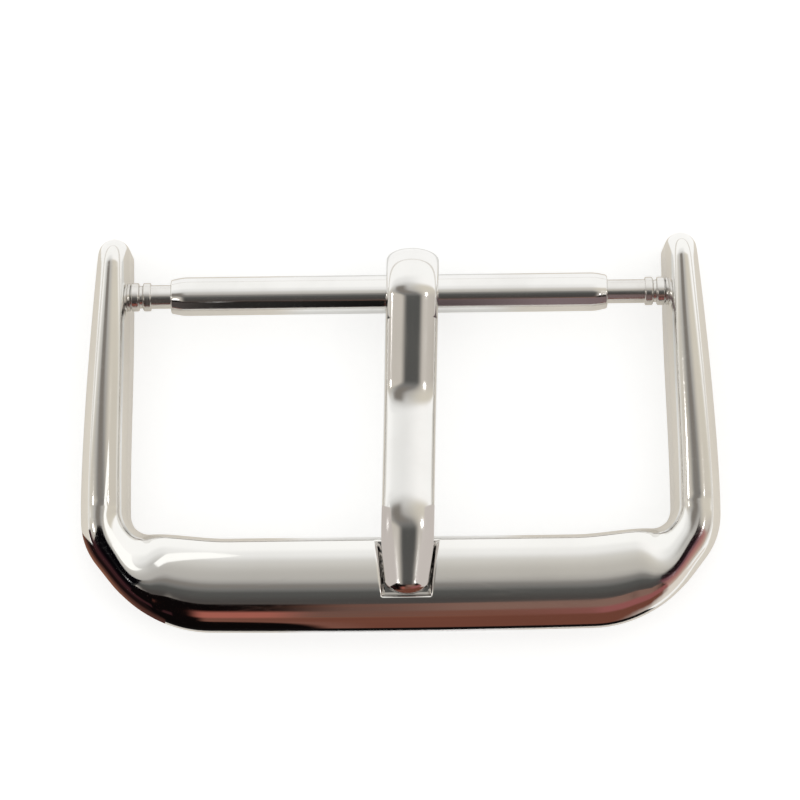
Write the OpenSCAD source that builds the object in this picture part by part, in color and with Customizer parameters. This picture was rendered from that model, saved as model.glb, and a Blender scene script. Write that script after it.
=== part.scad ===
// Pin buckle for a watch strap: a U-shaped frame, a tongue rolled round a sprung strap bar, and the bar's
// tube, two pins and coil spring.
// The origin is the middle of the strap bar's axis. +X runs along the bar, +Y points away from the front
// bar, and +Z rises out of the domed face. Lengths are in millimetres, angles in degrees.

/* [Strap] */
// Width of the strap, which is the clear width between the arms at the strap bar
strap_w = 18; // [14:0.5:24]

/* [Frame outline] */
// From the strap bar's axis to the front edge of the front bar
reach = 11.3; // [10:0.1:15]
// Width of the front bar, from its inner edge to its front edge
front_w = 3.08; // [2.6:0.02:3.6]
// Width of an arm at the strap bar
arm_lug_w = 1.21; // [1.15:0.01:1.8]
// Width of an arm where the corner starts
arm_front_w = 1.57; // [1.35:0.01:2.2]
// How late an arm widens towards the corner: 1 is evenly, more is nearer the corner
arm_widening = 1.4; // [1:0.1:2]
// How far each arm's inner face moves outwards from the strap bar to the corner
arm_spread = 0.14; // [0:0.01:0.3]
// Length of an arm past the strap bar's axis
lug_tail = 1.9; // [1.5:0.1:2.6]
// Length of the rounding at an arm's free end, seen from above
lug_round = 0.45; // [0.3:0.05:0.8]
// Radius of the rounding at an arm's free end, seen from the side
lug_fall = 0.9; // [0.85:0.05:1.1]
// How far the bevelled corner runs along the arm
corner_along = 2.85; // [2.6:0.05:3.6]
// How far the bevelled corner runs along the front edge
corner_across = 2.2; // [2.1:0.05:3.2]
// Radius that blends the arm into the bevelled corner
corner_arm_r = 2.4; // [1:0.1:3.2]
// Radius that blends the bevelled corner into the front edge
corner_front_r = 4.2; // [2:0.1:5.6]
// Radius inside the corner, between the arm and the front bar
inner_r = 0.8; // [0.5:0.05:1.3]
// How far the front edge falls back between its middle and the corners
front_bow = 0.08; // [0:0.01:0.2]
// How far the front bar's inner edge rises towards each corner
inner_edge_rise = 0.18; // [0:0.02:0.3]
// Length of that rise along the front bar
inner_edge_run = 2.6; // [1:0.1:3]

/* [Frame section] */
// Depth of the flat underside below the strap bar's axis
underside = 1.6; // [1.6:0.05:2]
// Height of an arm's ridge above the strap bar's axis, at its free end
lug_top = 1.4; // [1.1:0.05:1.8]
// Height of the front bar's face above the strap bar's axis
front_top = 0.8; // [0.7:0.05:1.2]
// Place of the ridge across an arm, as a share of the width from the inner side
arm_ridge = 0.52; // [0.4:0.02:0.7]
// Place of the highest line across the front bar, as a share of the width from the inner side
front_ridge = 0.45; // [0.35:0.05:0.6]
// How late the ridge sinks towards the front bar: 1 is evenly, more is nearer the front bar
ridge_sinking = 1.6; // [1:0.1:2]
// Fall of an arm's rounded top to its upright inner wall
arm_inner_fall = 1; // [0.6:0.05:1.2]
// Fall of an arm's rounded top to its upright outer wall
arm_outer_fall = 0.95; // [0.6:0.05:1.2]
// Fall of the front bar's face to its upright inner wall
front_inner_fall = 0.65; // [0.4:0.05:0.9]
// Fall of the front bar's face to its upright front wall
front_outer_fall = 1.25; // [0.8:0.05:1.5]
// Squareness of the front bar's rounding to its inner wall: 2 is an ellipse, more is flatter on top
front_inner_square = 2.7; // [2:0.1:3]
// Squareness of the front bar's rounding to its front wall
front_outer_square = 2.3; // [2:0.1:3]
// Place of the front bar's end, where its broad face meets the arm's ridge, as a distance from the middle
face_end = 9.1; // [8.6:0.05:9.3]
// Width of the valley between the two
face_valley = 1.3; // [0.6:0.05:1.6]
// Bevel along the lower edges of the frame
edge_bevel = 0.12; // [0.05:0.01:0.2]

/* [Tongue] */
// Width of the tongue
tongue_w = 1.76; // [1.4:0.02:2.6]
// Width of the tongue at its tip
tongue_tip_w = 1.46; // [1.2:0.02:1.7]
// Thickness of the tongue's strip
tongue_t = 0.85; // [0.6:0.05:0.85]
// Height of the rounding across the tongue's upper face
tongue_crown = 0.42; // [0.2:0.02:0.5]
// Distance from the strap bar's axis to the lowest point of the tongue's sag
sag_y = 3.6; // [3:0.1:4.2]
// Height of the strip's middle line there, above the strap bar's axis
sag_z = 0.38; // [0.2:0.02:0.6]
// Distance from the front bar's inner edge back to the highest point of the tongue's arch
arch_back = 0.72; // [0.6:0.02:1]
// Height of the strip's middle line there
arch_z = 1.2; // [1:0.02:1.2]
// Height of the strip's middle line at the tip
tip_z = 0.66; // [0.6:0.02:0.7]
// Length of the rounding at the tongue's tip
tip_round = 0.4; // [0.2:0.05:0.6]
// Share of its width and thickness that the tongue keeps at its very tip
tip_keep = 0.38; // [0.3:0.02:0.6]
// Radius of the strip's middle line in the sag and in the arch
bend_r = 3.2; // [1.5:0.1:3.6]
// Distance from the tongue's tip to the front edge of the front bar
tip_back = 1.15; // [1:0.05:1.4]
// How far the tongue has slid along the strap bar from the middle, towards +X
tongue_shift = 0.48; // [0.4:0.02:0.5]
// Angle by which the tongue leans on the strap bar, in its loose eye, so that its tip swings towards -X
tongue_lean = 1.8; // [1.5:0.1:2]
// Angle of the roll round the strap bar, from its top backwards
roll_angle = 276; // [240:2:278]

/* [Notch] */
// Play on each side of the tongue where it enters the front bar's notch
notch_side_play = 0.12; // [0.1:0.01:0.2]
// Play on each side of the tongue's tip
notch_tip_play = 0.06; // [0.04:0.01:0.1]
// How much nearer the middle of the front bar the notch begins than the tongue passes, towards -X
notch_shift = 0.02; // [0:0.01:0.04]
// Gap between the tongue's tip and the notch's front wall
notch_end_play = 0.08; // [0.04:0.01:0.2]
// Gap under the tongue in the notch
notch_floor_play = 0.04; // [0.02:0.01:0.1]
// Width of the softened lip round the notch
notch_lip_w = 0.15; // [0.1:0.05:0.3]
// Depth of that lip
notch_lip_depth = 0.1; // [0.05:0.01:0.15]

/* [Strap bar] */
// Outside diameter of the strap bar's tube
tube_d = 1.3; // [1.15:0.05:1.3]
// Wall of the tube
tube_wall = 0.11; // [0.08:0.01:0.14]
// Length of pin that shows on each side when the tube is central
neck = 1.65; // [1.45:0.05:2.2]
// How far the tube has slid from the middle, towards +X
tube_shift = -0.3; // [-0.4:0.05:0.4]
// Length of the rolled-in end of the tube
crimp_len = 0.4; // [0.2:0.05:0.6]
// How much smaller the tube's diameter is at its rolled-in end
crimp_draw = 0.16; // [0.1:0.02:0.2]
// Diameter of the pin's shaft
shaft_d = 0.8; // [0.6:0.02:0.82]
// Diameter of the two collars on a pin
collar_d = 0.96; // [0.86:0.02:1.1]
// Length of one collar
collar_len = 0.25; // [0.15:0.05:0.4]
// Width of the groove between the collars
groove_w = 0.16; // [0.08:0.02:0.24]
// Depth of that groove below the collars
groove_depth = 0.1; // [0.05:0.01:0.14]
// Diameter of the pivot that enters the arm
pivot_d = 0.72; // [0.5:0.02:0.76]
// Length of the pivot
pivot_len = 0.6; // [0.4:0.05:0.9]
// Bevel at the pivot's end
pivot_bevel = 0.12; // [0.04:0.01:0.2]
// Depth that the pivot's hole goes on past the pivot
bore_spare = 0.1; // [0.05:0.05:0.2]
// Length of the head that keeps the pin in the tube
head_len = 0.9; // [0.5:0.1:1.5]
// Gap between a pin's head and the tube's rolled end when the tube is pushed hard over
head_spare = 0.1; // [0.05:0.05:0.4]
// Broken edges of the tube and the pins
edge_break = 0.03; // [0.01:0.01:0.04]

/* [Coil spring] */
// Wire diameter of the coil spring
wire_d = 0.15; // [0.1:0.01:0.2]
// Number of turns in the coil spring
spring_turns = 24; // [12:1:30]

/* [Fits] */
// Clearance between the tongue's eye and the tube, on the radius
eye_play = 0.05; // [0.02:0.01:0.1]
// Clearance between the pivot and its hole in the arm, on the radius
pivot_play = 0.04; // [0.02:0.01:0.1]
// Clearance between the shaft and the tube's rolled-in end, on the radius
shaft_play = 0.02; // [0.01:0.01:0.03]
// Clearance between the pin's head and the tube's bore, on the radius
head_play = 0.02; // [0.01:0.01:0.03]
// Clearance between the coil spring and the tube's bore, on the radius
spring_play = 0.05; // [0.02:0.01:0.1]
// Gap between a pin's collar and the arm, and between the spring and a pin's head
end_play = 0.02; // [0.01:0.01:0.05]

/* [Hidden] */

steel = "#c9c8c4";
spring_steel = "#8f9294";
// Spare length of a cutting body past the face that it cuts, and how far a swept body reaches past a face
// that is cut flush
over = 0.5;
cut_reach = 0.12;
// Shortest straight line left between two roundings, and the play that keeps two cuts apart
straight = 0.1;
slit = 0.02;
// Largest share of a ring's width that the bevel at each lower edge takes, where an arm's end narrows
bevel_share = 0.4;

// Steps along and across the swept bodies
lug_steps = [0.03, 0.12, 0.3, 0.55, 0.8];
arm_steps = 10;
end_steps = 5;
corner_steps = 14;
front_steps = 16;
front_crowding = 1.5;
quarter_steps = 7;
blend_steps = 8;
roll_steps = 24;
strip_steps = 36;
tip_steps = 5;
crown_steps = 8;
turn_steps = 10;
wire_sides = 6;

// Frame outline: x of the faces, y of the edges
half_w = strap_w / 2;
corner_in_x = half_w + arm_spread;
corner_out_x = corner_in_x + arm_front_w;
lug_out_x = half_w + arm_lug_w;
inner_y = front_w - reach;
corner_turn = atan(corner_across / corner_along);
corner_y = straight + max(
    corner_along - reach + corner_arm_r * tan(corner_turn / 2),
    inner_y + inner_edge_rise + inner_r
);
front_start_x = corner_in_x - inner_r;

// Tongue heights along its middle line, and where it ends
eye_r = tube_d / 2 + eye_play;
roll_r = eye_r + tongue_t / 2;
arch_y = -inner_y - arch_back;
tip_y = reach - tip_back;
tip_x = tongue_shift - tip_y * sin(tongue_lean);
notch_end = tip_y + notch_end_play;
notch_back_x = tongue_shift + inner_y * sin(tongue_lean) - notch_shift;

// Strap bar
tube_len = strap_w - 2 * neck;
tube_bore_d = tube_d - 2 * tube_wall;
crimp_bore_d = shaft_d + 2 * shaft_play;
head_d = tube_bore_d - 2 * head_play;
collars_len = 2 * collar_len + groove_w;
longest_neck = neck + abs(tube_shift);
head_from_arm = longest_neck + crimp_len + head_spare;
bore_d = pivot_d + 2 * pivot_play;
bore_depth = pivot_len + bore_spare;
spring_len = strap_w - 2 * (head_from_arm + head_len + end_play);
spring_r = tube_bore_d / 2 - spring_play - wire_d / 2;

function mix(a, b, t) = a + (b - a) * t;
function clamp(t) = min(1, max(0, t));
function ease(t) = (1 - cos(180 * clamp(t))) / 2;
function unit(v) = v / norm(v);

// Points of the arc of radius r that rounds the corner p between the points a and b
function rounded(a, p, b, r) =
    let (
        u = unit(a - p),
        v = unit(b - p),
        half = acos(u * v) / 2,
        c = p + unit(u + v) * r / sin(half),
        from = p + u * r / tan(half) - c,
        to = p + v * r / tan(half) - c
    )
    [for (i = [0:blend_steps]) c + r * unit(mix(from, to, i / blend_steps))];

// Distance along a path to each of its points
function lengths(path) =
    [for (i = 0, d = 0; i < len(path);
          i = i + 1, d = i < len(path) ? d + norm(path[i] - path[i - 1]) : d) d];

// The point that lies a distance d along a path
function along(path, d) =
    let (run = lengths(path))
    [for (axis = [0, 1]) lookup(d, [for (i = [0:len(path) - 1]) [run[i], path[i][axis]]])];

// The outer outline of one corner, from the arm to the middle of the front bar
arm_end = [corner_out_x, corner_y];
bevel_top = [corner_out_x, corner_along - reach];
bevel_foot = [corner_out_x - corner_across, -reach];
front_mid = [0, -reach];
front_arc = rounded(bevel_top, bevel_foot, front_mid, corner_front_r);
function bowed(p) = [p.x, p.y + front_bow * pow(min(1, p.x / bevel_foot.x), 2)];
outer_path = [
    for (p = concat(
        [arm_end],
        rounded(arm_end, bevel_top, bevel_foot, corner_arm_r),
        front_arc,
        [for (i = [1:blend_steps]) mix(front_arc[blend_steps], front_mid, i / blend_steps)]
    )) bowed(p)
];
function front_edge_y(x) = lookup(x, outer_path);
function inner_edge_y(x) = inner_y + inner_edge_rise * ease((x - front_start_x) / inner_edge_run + 1);

// The inner outline of the same corner, as far as the start of the front bar
inner_corner = [corner_in_x, inner_edge_y(front_start_x)];
inner_path = concat(
    [[corner_in_x, corner_y]],
    rounded([corner_in_x, corner_y], inner_corner, [0, inner_corner.y], inner_r)
);
outer_run = lengths(outer_path);
corner_run = lookup(front_start_x, [for (i = [0:len(outer_path) - 1]) [outer_path[i].x, outer_run[i]]]);
inner_run = lengths(inner_path)[len(inner_path) - 1];

function arm_in_x(y) = half_w + arm_spread * ease(y / corner_y);
function arm_out_x(y) = mix(corner_out_x, lug_out_x, pow(max(0, 1 - y / corner_y), arm_widening));
function ridge_z(y) =
    mix(lug_top, front_top, pow(clamp((lug_tail - y) / (lug_tail - inner_y)), ridge_sinking));

// One ring round the frame's section, from the inner lower edge over the top to the outer lower edge.
// It is an arm's section past the front bar's end, whose ridge keeps its distance from the outer face round
// the corner, and the front bar's section between its two ends. full narrows it towards an arm's free end.
function section(inner, outer, crest_z, full = 1) =
    let (
        mid = (inner + outer) / 2,
        front = ease((face_end - mid.x) / face_valley),
        from = mix(mid, inner, full),
        to = mix(mid, outer, full),
        outside = (1 - arm_ridge) * min(1, arm_front_w / norm(outer - inner)),
        ridge = mix(1 - outside, front_ridge, front),
        in_fall = full * mix(arm_inner_fall, front_inner_fall, front),
        out_fall = full * mix(arm_outer_fall, front_outer_fall, front),
        in_power = 2 / mix(2, front_inner_square, front),
        out_power = 2 / mix(2, front_outer_square, front),
        foot = min(bevel_share, (edge_bevel + cut_reach) / norm(to - from)),
        profile = concat(
            [[foot, -underside - cut_reach], [0, edge_bevel - underside]],
            [for (i = [quarter_steps:-1:0])
                let (a = 90 * i / quarter_steps)
                [ridge * (1 - pow(sin(a), in_power)), crest_z - in_fall * (1 - pow(cos(a), in_power))]],
            [for (i = [1:quarter_steps])
                let (a = 90 * i / quarter_steps)
                [mix(ridge, 1, pow(sin(a), out_power)), crest_z - out_fall * (1 - pow(cos(a), out_power))]],
            [[1, edge_bevel - underside], [1 - foot, -underside - cut_reach]]
        )
    )
    [for (p = profile) let (q = mix(from, to, p[0])) [q.x, q.y, p[1]]];

// Rings of the right half of the frame, from the arm's free end to the middle of the front bar
function lug_share(y) = sqrt(1 - pow(clamp((y - lug_tail + lug_round) / lug_round), 2));
function lug_z(y) =
    ridge_z(y) - lug_fall * (1 - sqrt(1 - pow(clamp((y - lug_tail + lug_fall) / lug_fall), 2)));
function arm_ring(y) = section([arm_in_x(y), y], [arm_out_x(y), y], lug_z(y), lug_share(y));
half_rings = concat(
    [for (t = lug_steps) arm_ring(lug_tail - lug_round * t)],
    [for (i = [0:end_steps - 1]) arm_ring(lug_tail - mix(lug_round, lug_fall, i / end_steps))],
    [for (i = [0:arm_steps - 1]) arm_ring(mix(lug_tail - lug_fall, corner_y, i / arm_steps))],
    [for (i = [0:corner_steps - 1])
        let (
            inner = along(inner_path, inner_run * i / corner_steps),
            outer = along(outer_path, corner_run * i / corner_steps)
        )
        section(inner, outer, ridge_z(inner.y))],
    [for (i = [0:front_steps])
        let (x = front_start_x * (1 - pow(i / front_steps, front_crowding)))
        section([x, inner_edge_y(x)], [x, front_edge_y(x)], ridge_z(inner_edge_y(x)))]
);
function flipped(ring) = [for (p = ring) [-p.x, p.y, p.z]];
frame_rings = concat(
    [for (ring = half_rings) flipped(ring)],
    [for (i = [len(half_rings) - 2:-1:0]) half_rings[i]]
);

// A closed body through a row of rings with as many points each
module skin(rings) {
    m = len(rings[0]);
    last = m * (len(rings) - 1);
    polyhedron(
        points = [for (ring = rings, p = ring) p],
        faces = concat(
            [[for (j = [0:m - 1]) j], [for (j = [m - 1:-1:0]) last + j]],
            [for (k = [0:m:last - 1], j = [0:m - 1])
                let (a = k + j, b = k + (j + 1) % m)
                each [[a, a + m, b], [b, a + m, b + m]]]
        )
    );
}

// Turns a body that stands along Z so that it lies along X
module along_x() {
    rotate([0, 90, 0]) children();
}

// The tongue's middle line in front of the roll: straight down to the sag, up to the arch and down to the
// tip, as points [y, z] with y measured towards the front bar. It leaves the roll at leave_angle past the
// top.
sag = [sag_y, sag_z];
arch = [arch_y, arch_z];
tip = [tip_y, tip_z];
leave_angle = 90 - atan2(sag_z, sag_y) - acos(roll_r / norm(sag));
leave = roll_r * [sin(leave_angle), cos(leave_angle)];
strip_path = concat([leave], rounded(leave, sag, arch, bend_r), rounded(sag, arch, tip, bend_r), [tip]);
strip_run = lengths(strip_path)[len(strip_path) - 1];
function strip_z(y) = lookup(y, strip_path);

// Share of the full width and thickness near the tip, for a rounded end
function tip_share(d) =
    sqrt(1 - (1 - pow(tip_keep, 2)) * pow(clamp((d - strip_run + tip_round) / tip_round), 2));
function strip_half_w(y) = mix(tongue_w, tongue_tip_w, ease((y + inner_y) / (tip_y + inner_y))) / 2;

// One ring round the tongue's section at the point p = [y, z], with up as the direction of its upper face.
// On the roll the ring reaches deeper by the value deep, and the eye is then cut round inside it.
function tongue_ring(p, up, half, share = 1, deep = 0) =
    let (
        low = -tongue_t / 2,
        crown = tongue_crown * share,
        top = low + tongue_t * share,
        profile = concat(
            [[-half * share, low - deep], [half * share, low - deep]],
            [for (i = [0:crown_steps])
                let (a = 180 * i / crown_steps)
                [half * share * cos(a), top - crown * (1 - sin(a))]]
        )
    )
    [for (q = profile) [q[0], p[0] + up[0] * q[1], p[1] + up[1] * q[1]]];

// Direction of the strip's upper face at a distance d along its middle line
function strip_up(d) =
    let (v = unit(along(strip_path, d + straight) - along(strip_path, d - straight)))
    [v[1], v[0]];

tongue_rings = concat(
    [for (i = [roll_steps:-1:0])
        let (a = mix(-leave_angle, roll_angle, i / roll_steps), up = [sin(a), cos(a)])
        tongue_ring(roll_r * up, up, tongue_w / 2, 1, eye_r / 4)],
    [for (i = [1:strip_steps + tip_steps])
        let (
            d = i < strip_steps ? (strip_run - tip_round) * i / strip_steps
              : strip_run - tip_round * (1 - sin(90 * (i - strip_steps) / tip_steps)),
            p = along(strip_path, d)
        )
        tongue_ring([-p[0], p[1]], strip_up(d), strip_half_w(p[0]), tip_share(d))]
);

// Frame: two arms and the front bar in one piece, flat below, with a blind hole in each arm for the
// strap bar's pivots and a notch that takes the tongue's tip
module frame() {
    color(steel)
    difference() {
        skin(frame_rings);
        translate([-strap_w, -2 * reach, -underside - 2 * over]) cube([2 * strap_w, 3 * reach, 2 * over]);
        for (side = [0, 180])
            rotate([0, 0, side]) translate([half_w - over, 0, 0]) along_x()
                cylinder(d = bore_d, h = bore_depth + over, $fn = 48);
        tongue_notch();
    }
}

// One ring of the notch's cutting body: a flat floor, two upright walls and two slanting lips
function notch_ring(y, left, right, floor_z, lip_z, lip_w) =
    let (rise = front_top + over - lip_z, spread = rise * lip_w / notch_lip_depth)
    [
        [left, y, floor_z], [right, y, floor_z], [right, y, lip_z],
        [right + spread, y, lip_z + rise], [left - spread, y, lip_z + rise], [left, y, lip_z]
    ];

// The notch: it narrows with the tongue, its floor slopes under the tongue and its front wall leans forward
module tongue_notch() {
    back = -inner_y - over;
    half_back = tongue_w / 2 + notch_side_play;
    half_end = tongue_tip_w / 2 + notch_tip_play;
    floor_drop = tongue_t / 2 + notch_floor_play + slit;
    floor_end = strip_z(tip_y) - floor_drop;
    floor_back = floor_end + (tip_y - back) * (arch_z - tip_z) / (tip_y - arch_y);
    lip_z = front_top - notch_lip_depth;
    left_end = tip_x - half_end;
    right_end = tip_x + half_end;
    end_lip = notch_lip_w / 2;
    skin([
        notch_ring(-back, notch_back_x - half_back, notch_back_x + half_back, floor_back, lip_z, notch_lip_w),
        notch_ring(-notch_end, left_end, right_end, floor_end, lip_z, end_lip),
        notch_ring(-notch_end - end_lip, left_end, right_end, lip_z - slit, lip_z, end_lip)
    ]);
}

// Tongue: a domed strip, rolled at one end into an eye round the tube
module tongue() {
    color(steel)
    translate([tongue_shift, 0, 0]) rotate([0, 0, -tongue_lean])
    difference() {
        skin(tongue_rings);
        translate([-tongue_w, 0, 0]) along_x() cylinder(r = eye_r, h = 2 * tongue_w, $fn = 64);
    }
}

// Tube of the strap bar, with both ends rolled in over the pins
module bar_tube() {
    half = tube_len / 2;
    crimp_r = (tube_d - crimp_draw) / 2;
    color(steel)
    translate([tube_shift, 0, 0]) along_x()
        rotate_extrude($fn = 64)
            polygon([
                [tube_bore_d / 2, -half + crimp_len + head_spare],
                [crimp_bore_d / 2, -half + crimp_len],
                [crimp_bore_d / 2, -half],
                [crimp_r - edge_break, -half],
                [crimp_r, -half + edge_break],
                [tube_d / 2, -half + crimp_len],
                [tube_d / 2, half - crimp_len],
                [crimp_r, half - edge_break],
                [crimp_r - edge_break, half],
                [crimp_bore_d / 2, half],
                [crimp_bore_d / 2, half - crimp_len],
                [tube_bore_d / 2, half - crimp_len - head_spare]
            ]);
}

// Pin: pivot, two collars with a groove between them, shaft and head. It stands along +Z, with the arm's
// inner face at zero.
module pin() {
    collar_end = -end_play - collars_len;
    groove_front = -end_play - collar_len;
    groove_back = groove_front - groove_w;
    groove_r = collar_d / 2 - groove_depth;
    rotate_extrude($fn = 48)
        polygon([
            [0, pivot_len],
            [pivot_d / 2 - pivot_bevel, pivot_len],
            [pivot_d / 2, pivot_len - pivot_bevel],
            [pivot_d / 2, -end_play],
            [collar_d / 2 - edge_break, -end_play],
            [collar_d / 2, -end_play - edge_break],
            [collar_d / 2, groove_front],
            [groove_r, groove_front - edge_break],
            [groove_r, groove_back],
            [collar_d / 2, groove_back - edge_break],
            [collar_d / 2, collar_end + edge_break],
            [shaft_d / 2, collar_end],
            [shaft_d / 2, -head_from_arm],
            [head_d / 2, -head_from_arm],
            [head_d / 2, -head_from_arm - head_len + 2 * edge_break],
            [head_d / 2 - 2 * edge_break, -head_from_arm - head_len],
            [0, -head_from_arm - head_len]
        ]);
}

module left_pin() {
    color(steel) mirror([1, 0, 0]) translate([half_w, 0, 0]) along_x() pin();
}

module right_pin() {
    color(steel) translate([half_w, 0, 0]) along_x() pin();
}

// Coil spring: its last turn at each end is wound close
function spring_x(t) =
    let (
        open = spring_turns - 2,
        pitch = (spring_len - 3 * wire_d) / open,
        u = t * spring_turns
    )
    wire_d / 2 + (u < 1 ? wire_d * u : u > open + 1 ? wire_d + pitch * open + wire_d * (u - open - 1)
                 : wire_d + pitch * (u - 1));

module coil_spring() {
    stations = spring_turns * turn_steps;
    rings = [
        for (i = [0:stations])
            let (a = 360 * i / turn_steps)
            [for (j = [0:wire_sides - 1])
                let (b = 360 * j / wire_sides, r = spring_r + wire_d / 2 * cos(b))
                [spring_x(i / stations) - wire_d / 2 * sin(b), r * cos(a), r * sin(a)]]
    ];
    color(spring_steel) translate([-spring_len / 2, 0, 0]) skin(rings);
}

frame();
tongue();
bar_tube();
left_pin();
right_pin();
coil_spring();
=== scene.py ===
import math
import bpy
import bmesh
from mathutils import Matrix, Vector


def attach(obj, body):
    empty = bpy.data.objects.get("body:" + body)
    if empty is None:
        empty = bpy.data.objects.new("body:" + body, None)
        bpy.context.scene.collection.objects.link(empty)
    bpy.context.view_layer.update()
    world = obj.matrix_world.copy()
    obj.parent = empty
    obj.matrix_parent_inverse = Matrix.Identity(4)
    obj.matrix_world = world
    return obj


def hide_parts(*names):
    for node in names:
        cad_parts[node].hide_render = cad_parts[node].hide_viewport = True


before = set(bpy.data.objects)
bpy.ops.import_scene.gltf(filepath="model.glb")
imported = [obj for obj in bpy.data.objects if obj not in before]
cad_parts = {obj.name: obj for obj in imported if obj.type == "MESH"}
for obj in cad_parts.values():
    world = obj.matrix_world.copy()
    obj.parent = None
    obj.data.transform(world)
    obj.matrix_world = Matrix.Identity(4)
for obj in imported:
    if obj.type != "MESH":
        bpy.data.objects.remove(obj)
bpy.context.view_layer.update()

scene = bpy.context.scene
mm = 0.001  # sizes below are in millimetres, meshes in metres
mergeWithin = 1e-8  # metres; points closer than this become one

# The camera looks down on the buckle, a little from the front bar's side
cameraSet = {
    "elevation": 83.0,
    "aim": (0.025, -3.6, 0.0),
    "distance": 125.0,
    "focalPx": 3719.0, "imagePx": 800, "sensor": 36,
    "roll": 0.71,
    "clip": (0.001, 20),  # metres
}


def newObject(name, data):
    made = bpy.data.objects.new(name, data)
    scene.collection.objects.link(made)
    return made


def placeCamera(s):
    tilt = math.radians(s["elevation"])
    towards = Vector((0, -math.cos(tilt), math.sin(tilt)))
    data = bpy.data.cameras.new("lookingDown")
    data.sensor_fit = "HORIZONTAL"
    data.sensor_width = s["sensor"]
    data.lens = s["focalPx"] / s["imagePx"] * s["sensor"]
    data.clip_start, data.clip_end = s["clip"]
    cam = newObject("lookingDown", data)
    cam.location = (Vector(s["aim"]) + towards * s["distance"]) * mm
    look = (-towards).to_track_quat("-Z", "Y").to_matrix().to_4x4()
    roll = Matrix.Rotation(math.radians(-s["roll"]), 4, "Z")
    cam.rotation_euler = (look @ roll).to_euler()
    scene.camera = cam


placeCamera(cameraSet)
print("camera placed")


# Small helpers for shapes
def mix(a, b, t):
    return a + (b - a) * t


def clamp(t):
    return min(1.0, max(0.0, t))


def ease(t):
    return (1 - math.cos(math.pi * clamp(t))) / 2


def pointMix(a, b, t):
    return (mix(a[0], b[0], t), mix(a[1], b[1], t))


def stepsTo(a, b, steps, withEnd=True):
    # points at equal steps from a to b, without a itself
    last = steps + 1 if withEnd else steps
    return [pointMix(a, b, i / steps) for i in range(1, last)]


def roundedCorner(a, p, b, radius, steps):
    # points of the arc that rounds the corner p between a and b
    pa, pp, pb = Vector(a), Vector(p), Vector(b)
    u = (pa - pp).normalized()
    v = (pb - pp).normalized()
    half = math.acos(max(-1.0, min(1.0, u.dot(v)))) / 2
    centre = pp + (u + v).normalized() * radius / math.sin(half)
    start = pp + u * radius / math.tan(half) - centre
    end = pp + v * radius / math.tan(half) - centre
    whole = start.angle(end)
    points = []
    for i in range(steps + 1):
        t = i / steps
        q = (start * math.sin((1 - t) * whole) + end * math.sin(t * whole)) / math.sin(whole)
        points.append(tuple(centre + q))
    return points


def runOf(path):
    # how far along the path each of its points lies
    run = [0.0]
    for a, b in zip(path, path[1:]):
        run.append(run[-1] + math.dist(a, b))
    return run


def lookUp(value, keys, values):
    # values at keys that rise or fall steadily, with straight lines between them
    if keys[0] > keys[-1]:
        keys, values = keys[::-1], values[::-1]
    if value <= keys[0]:
        return values[0]
    for k0, k1, v0, v1 in zip(keys, keys[1:], values, values[1:]):
        if value <= k1:
            return mix(v0, v1, (value - k0) / (k1 - k0)) if k1 > k0 else v1
    return values[-1]


def mendMesh(mesh, move=None):
    # doubles merged, faces turned outwards, and the whole moved if asked
    bm = bmesh.new()
    bm.from_mesh(mesh)
    bmesh.ops.remove_doubles(bm, verts=bm.verts, dist=mergeWithin)
    bmesh.ops.recalc_face_normals(bm, faces=bm.faces)
    if move is not None:
        bmesh.ops.transform(bm, matrix=move, verts=bm.verts)
    bm.to_mesh(mesh)
    bm.free()


def shadeSmooth(piece, smoothAngle):
    mesh = piece.data
    mesh.polygons.foreach_set("use_smooth", [True] * len(mesh.polygons))
    mesh.set_sharp_from_angle(angle=math.radians(smoothAngle))
    mesh.update()


def meshPiece(name, points, faces, material, smoothAngle):
    mesh = bpy.data.meshes.new(name)
    mesh.from_pydata([tuple(c * mm for c in p) for p in points], [], faces)
    mendMesh(mesh)
    mesh.materials.append(material)
    piece = newObject(name, mesh)
    shadeSmooth(piece, smoothAngle)
    return piece


def bakeModifiers(piece):
    # the modifiers' result becomes the piece's own mesh; a curve becomes a mesh piece
    graph = bpy.context.evaluated_depsgraph_get()
    done = bpy.data.meshes.new_from_object(piece.evaluated_get(graph))
    old = piece.data
    piece.modifiers.clear()
    if piece.type == "MESH":
        piece.data = done
        done.name = piece.name
        bpy.data.meshes.remove(old)
        return piece
    name = piece.name
    bpy.data.objects.remove(piece)
    done.name = name
    return newObject(name, done)


# Small helpers for node trees: an input takes a value or another node's output
def plug(tree, socket, value):
    if isinstance(value, bpy.types.NodeSocket):
        tree.links.new(value, socket)
    else:
        socket.default_value = value


def addNode(tree, kind, inputs=None, **settings):
    node = tree.nodes.new(kind)
    for key, value in settings.items():
        setattr(node, key, value)
    for label, value in (inputs or {}).items():
        plug(tree, node.inputs[label], value)
    return node


def calc(tree, operation, *values, useClamp=False):
    node = addNode(tree, "ShaderNodeMath", operation=operation, use_clamp=useClamp)
    for socket, value in zip(node.inputs, values):
        plug(tree, socket, value)
    return node.outputs[0]


def times(tree, a, b):
    return calc(tree, "MULTIPLY", a, b)


def objectPlace(tree):
    return addNode(tree, "ShaderNodeTexCoord").outputs["Object"]


def partsOf(tree, vector):
    # its X, Y and Z
    return addNode(tree, "ShaderNodeSeparateXYZ", {"Vector": vector}).outputs


def noise(tree, place, **inputs):
    return addNode(tree, "ShaderNodeTexNoise", {"Vector": place, **inputs}).outputs["Fac"]


def smoothStep(tree, value, low, high, toLow=0.0, toHigh=1.0):
    inputs = {"Value": value, "From Min": low, "From Max": high, "To Min": toLow, "To Max": toHigh}
    node = addNode(tree, "ShaderNodeMapRange", inputs, interpolation_type="SMOOTHSTEP")
    return node.outputs["Result"]


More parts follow.
